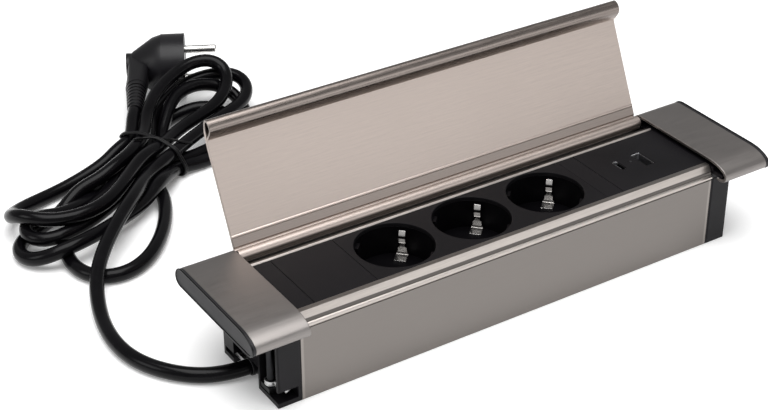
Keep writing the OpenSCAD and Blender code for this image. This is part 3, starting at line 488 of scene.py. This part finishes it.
UP = (0.0, 0.0, 1.0)
BACK = (0.0, 1.0, 0.0)
ALONG = (1.0, 0.0, 0.0)
CUP_Z = 0.0287                             # floor of the recesses
LID_DIR = (0.0, 0.42262, 0.90631)          # along the open lid, away from its hinge line
LID_OFF = -(0.42262 * 0.0326 + 0.90631 * 0.0462)
ROLL_DIR = (0.0, -0.57357, 0.81915)        # toward the inner side of its rolled edge
ROLL_OFF = -(-0.57357 * 0.0326 + 0.81915 * 0.0462)
MATS = {
    # painted shade on the band between ridge and rolled edge and on the roll's inner side, painted highlight on the
    # thin ridge band
    "lid_metal": brushed("lid_metal", (0.44, 0.38, 0.347), 0.42, 1.15, painted_light_bands=(
        (LID_DIR, LID_OFF, 0.0037, 0.0086, 0.62, 0.00006), (LID_DIR, LID_OFF, 0.0086, 0.0099, 1.15, 0.00006),
        (ROLL_DIR, ROLL_OFF, 0.0298, 0.08, 0.5, 0.0009)), polish=(ROLL_DIR, ROLL_OFF, 0.0290, 0.0305, 0.14)),
    "cover_metal": brushed("cover_metal", (0.235, 0.219, 0.21), 0.42, 0.9),
    "trough_metal": brushed("trough_metal", (0.168, 0.154, 0.145), 0.34, 0.9, end_highlight=True),
    # painted highlights on the front rail's lip, chamfer and top, painted shade in the groove between them
    "front_metal": brushed("front_metal", (0.166, 0.152, 0.142), 0.34, 0.9, end_highlight=True, painted_light_bands=(
        (UP, 0.0, 0.03915, 0.0415, 2.8, 0.00006), (UP, 0.0, 0.0415, 0.0434, 0.6, 0.00006), (UP, 0.0, 0.0436, 0.04643, 3.5, 0.00006),
        (UP, 0.0, 0.04643, 0.05, 1.5, 0.00006))),
    # painted highlight along the rear rail's edge, painted shade on the flange behind it under the lid's hinge
    "rear_metal": brushed("rear_metal", (0.175, 0.16, 0.15), 0.40, 0.9, end_highlight=True, painted_light_bands=(
        ((0.0, 1.0, 0.0), 0.0, 0.02195, 0.0229, 3.2, 0.00006), ((0.0, 1.0, 0.0), 0.0, 0.0229, 0.0370, 0.5, 0.00006))),
    "housing_plastic": moulded("housing_plastic", (0.0035, 0.003, 0.004), 0.38, spec=0.16),
    "insert_plastic": moulded("insert_plastic", (0.005, 0.0046, 0.0054), 0.46, spec=0.105),
    # painted shade: the recess cups get a darker copy of the insert plastic, standing in for the shade down in the
    # recesses
    "cup_plastic": moulded("cup_plastic", (0.0015, 0.0013, 0.0018), 0.42, spec=0.08),
    "inner_plastic": moulded("inner_plastic", (0.10, 0.10, 0.108), 0.5),
    "terminal_plastic": moulded("terminal_plastic", (0.62, 0.61, 0.58), 0.45, wear=1.2),
    "shutter_plastic": moulded("shutter_plastic", (0.004, 0.004, 0.0045), 0.46, spec=0.15),
    "bright_steel": plated("bright_steel", (0.80, 0.79, 0.77), 0.16),
    # painted highlights on the earth clip's tip and foot, painted shade in the bands between
    "clip_steel": plated("clip_steel", (0.42, 0.41, 0.40), 0.20, 0.9, painted_light_bands=(
        (UP, 0.0, CUP_Z - 0.001, CUP_Z + 0.0012, 2.1, 0.0001), (UP, 0.0, CUP_Z + 0.0012, CUP_Z + 0.0021, 0.15, 0.0001),
        (UP, 0.0, CUP_Z + 0.0052, CUP_Z + 0.0078, 0.5, 0.0003), (UP, 0.0, CUP_Z + 0.0078, CUP_Z + 0.0122, 0.12, 0.0002),
        (UP, 0.0, CUP_Z + 0.0122, CUP_Z + 0.016, 2.3, 0.0002))),
    # painted glint along the USB-A opening's rear edge, painted shade along two other strips of the shell
    "port_a_steel": plated("port_a_steel", (0.20, 0.20, 0.205), 0.3, painted_light_bands=(
        (ALONG, 0.0, 0.0950, 0.0960, 0.15, 0.0001), (BACK, 0.0, 0.0060, 0.0070, 4.6, 0.00005),
        (BACK, 0.0, -0.0068, -0.0058, 0.2, 0.0001))),
    # painted highlight on the USB-C shell's rear edge, painted shade inside its opening
    "port_c_steel": plated("port_c_steel", (0.20, 0.20, 0.205), 0.3, painted_light_bands=(
        (BACK, 0.0, 0.0047, 0.0064, 3.0, 0.0002), (BACK, 0.0, -0.0035, 0.0040, 0.15, 0.0003))),
    "end_plastic": moulded("end_plastic", (0.015, 0.0145, 0.016), 0.42, spec=0.2),
    "rim_plastic": moulded("rim_plastic", (0.003, 0.003, 0.0035), 0.30, spec=0.2),
    "zinc_steel": plated("zinc_steel", (0.72, 0.72, 0.72), 0.24, 1.5),
    "black_steel": plated("black_steel", (0.03, 0.03, 0.032), 0.34, 1.0),
    "contact_brass": plated("contact_brass", (0.78, 0.56, 0.27), 0.22),
    "wire_insulation": moulded("wire_insulation", (0.13, 0.07, 0.04), 0.34, wear=1.3),
    "board": board(),
    "light_pipe": lens(),
    "lead_sheath": sheath("lead_sheath"),
    "plug_rubber": moulded("plug_rubber", (0.0038, 0.0035, 0.0044), 0.38, grain=1800.0, depth=0.00006, spec=0.26),
    "tie_plastic": moulded("tie_plastic", (0.0035, 0.0034, 0.0038), 0.34, grain=1500.0, spec=0.2),
}


def paint(ob, m):
    ob.data.materials.clear()
    ob.data.materials.append(m)


SLOTS = {}
for name, ob in nodes.items():
    used = [s.material.name for s in ob.material_slots if s.material]
    key = next((u for u in used for k in [u.split(".")[0]] if k in MATS), None)
    SLOTS[name] = key.split(".")[0] if key else None
    if key:
        for s in ob.material_slots:
            s.material = MATS[key.split(".")[0]]
    else:
        print("no material for", name, used)
for n_, m_ in (("front_rail", "front_metal"), ("rear_rail", "rear_metal"), ("earth_clips", "clip_steel"), ("usb_a_shell", "port_a_steel"), ("usb_c_shell", "port_c_steel"),
               ("cap_plate_left", "end_plastic"), ("cap_plate_right", "end_plastic")):
    for sl in nodes[n_].material_slots:
        sl.material = MATS[m_]
for k in (1, 2, 3):
    for sl in nodes["socket_cup_%d" % k].material_slots:
        sl.material = MATS["cup_plastic"]
paint(lead, MATS["lead_sheath"])
paint(tie, MATS["tie_plastic"])
paint(tie_tail, MATS["tie_plastic"])

# ---------------------------------------------------------------- painted shade round the two end plates of the caps: a dark tube stands in for the plate edge in shadow
for side, node in ((-1, "cap_plate_left"), (1, "cap_plate_right")):
    co = [v.co for v in nodes[node].data.vertices]
    x_out = max(v.x * side for v in co)
    flat = sorted({(round(v.y, 5), round(v.z, 5)) for v in co if abs(v.x * side - x_out) < 2e-5})
    mid_y = sum(p[0] for p in flat) / len(flat)

    def half(points):
        out = []
        for p in points:
            while len(out) > 1 and ((out[-1][0] - out[-2][0]) * (p[1] - out[-2][1])
                                    - (out[-1][1] - out[-2][1]) * (p[0] - out[-2][0])) <= 0:
                out.pop()
            out.append(p)
        return out

    hull = half(flat)[:-1] + half(flat[::-1])[:-1]
    loop = [Vector((side * (x_out - 0.0001), y, z)) for y, z in hull]
    cen = sum(loop, Vector()) / len(loop)
    loop = [p + (cen - p).normalized() * 0.0004 for p in loop]
    even = []
    for p, q in zip(loop, loop[1:] + loop[:1]):
        k = max(1, int((q - p).length / 0.0015))
        even += [p.lerp(q, t / k) for t in range(k)]
    even.append(even[0].copy())
    edge_shade_tube, _ = tube_piece("cap_edge_shade_" + ("left" if side < 0 else "right"), even, 0.0005, sides=8, step=0.0015)
    paint(edge_shade_tube, MATS["rim_plastic"])
    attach(edge_shade_tube, "base")

# ---------------------------------------------------------------- softened edges on the hard parts
EDGE = {
    "lid": 0.25, "cap_left": 0.35, "cap_right": 0.35, "front_rail": 0.2, "rear_rail": 0.2, "floor_plate": 0.2,
    "end_left": 0.5, "end_right": 0.5, "cap_plate_left": 0.3, "cap_plate_right": 0.3,
    "strip_left": 0.25, "blank_panel": 0.25, "socket_fascia": 0.3, "strip_mid": 0.25, "usb_face": 0.25,
    "socket_cup_1": 0.3, "socket_cup_2": 0.3, "socket_cup_3": 0.3,
    "clamp_claw_left": 0.25, "clamp_claw_right": 0.25, "clamp_nut_left": 0.25, "clamp_nut_right": 0.25,
    "plug_body": 0.5, "cord_clamp": 0.4, "earth_clips": 0.08, "usb_power_unit": 0.4, "usb_case": 0.4,
    "terminal_block": 0.4, "rear_feet": 0.2,
}
for name, ob in nodes.items():
    if name in ("cord_lead", "cord_loop", "cord_tail", "cord_hank", "cord_tie"):
        continue
    me = ob.data
    me.shade_smooth()
    if "custom_normal" in me.attributes:
        me.attributes.remove(me.attributes["custom_normal"])
    w = ob.modifiers.new("weld", "WELD")
    w.merge_threshold = 0.000004
    d = ob.modifiers.new("planes", "DECIMATE")
    d.decimate_type = "DISSOLVE"
    d.angle_limit = math.radians(0.6)
    b = ob.modifiers.new("edges", "BEVEL")
    b.width = EDGE.get(name, 0.12) * MM
    b.segments = 2
    b.limit_method = "ANGLE"
    b.angle_limit = math.radians(32)
    b.harden_normals = True
    b.use_clamp_overlap = True
    b.miter_outer = "MITER_ARC"

# ---------------------------------------------------------------- floor and light
bm = bmesh.new()
bmesh.ops.create_grid(bm, x_segments=1, y_segments=1, size=6.0)
fm = bpy.data.meshes.new("floor")
bm.to_mesh(fm)
bm.free()
floor = bpy.data.objects.new("floor", fm)
scene.collection.objects.link(floor)
low = min(size_cad[0][2], 0.0)
floor.location.z = low - 0.0002
fl = Mat("floor")
fl.color(fl.ramp(fl.noise((3.0, 3.0, 3.0), 2.0, 0.5), [(0.3, (0.93, 0.93, 0.93)), (0.7, (0.95, 0.95, 0.95))]))
fl.set(rough=0.9, spec=0.1, emit=0.14)
paint(floor, fl.m)

world = bpy.data.worlds.new("world")
scene.world = world
world.use_nodes = True
bg = world.node_tree.nodes["Background"]
bg.inputs[0].default_value = (1.0, 1.0, 1.0, 1.0)
bg.inputs[1].default_value = 0.36


def area(name, loc, target, size, power, color=(1, 1, 1), size_y=None):
    l = bpy.data.lights.new(name, "AREA")
    l.energy = power
    l.color = color
    l.size = size
    if size_y:
        l.shape = "RECTANGLE"
        l.size_y = size_y
    o = bpy.data.objects.new(name, l)
    o.location = loc
    o.rotation_euler = (Vector(target) - Vector(loc)).to_track_quat("-Z", "Y").to_euler()
    scene.collection.objects.link(o)
    return o


area("front", (1.1, -2.2, 0.75), (0.0, 0.05, 0.02), 1.6, 9.0, size_y=1.0)
area("top", (-0.15, -0.15, 1.6), (-0.05, 0.1, 0), 1.5, 34.0)
area("left", (-1.8, 0.3, 1.0), (-0.1, 0.15, 0), 0.8, 6.0)
scene.view_settings.view_transform = "Standard"
scene.view_settings.look = "None"
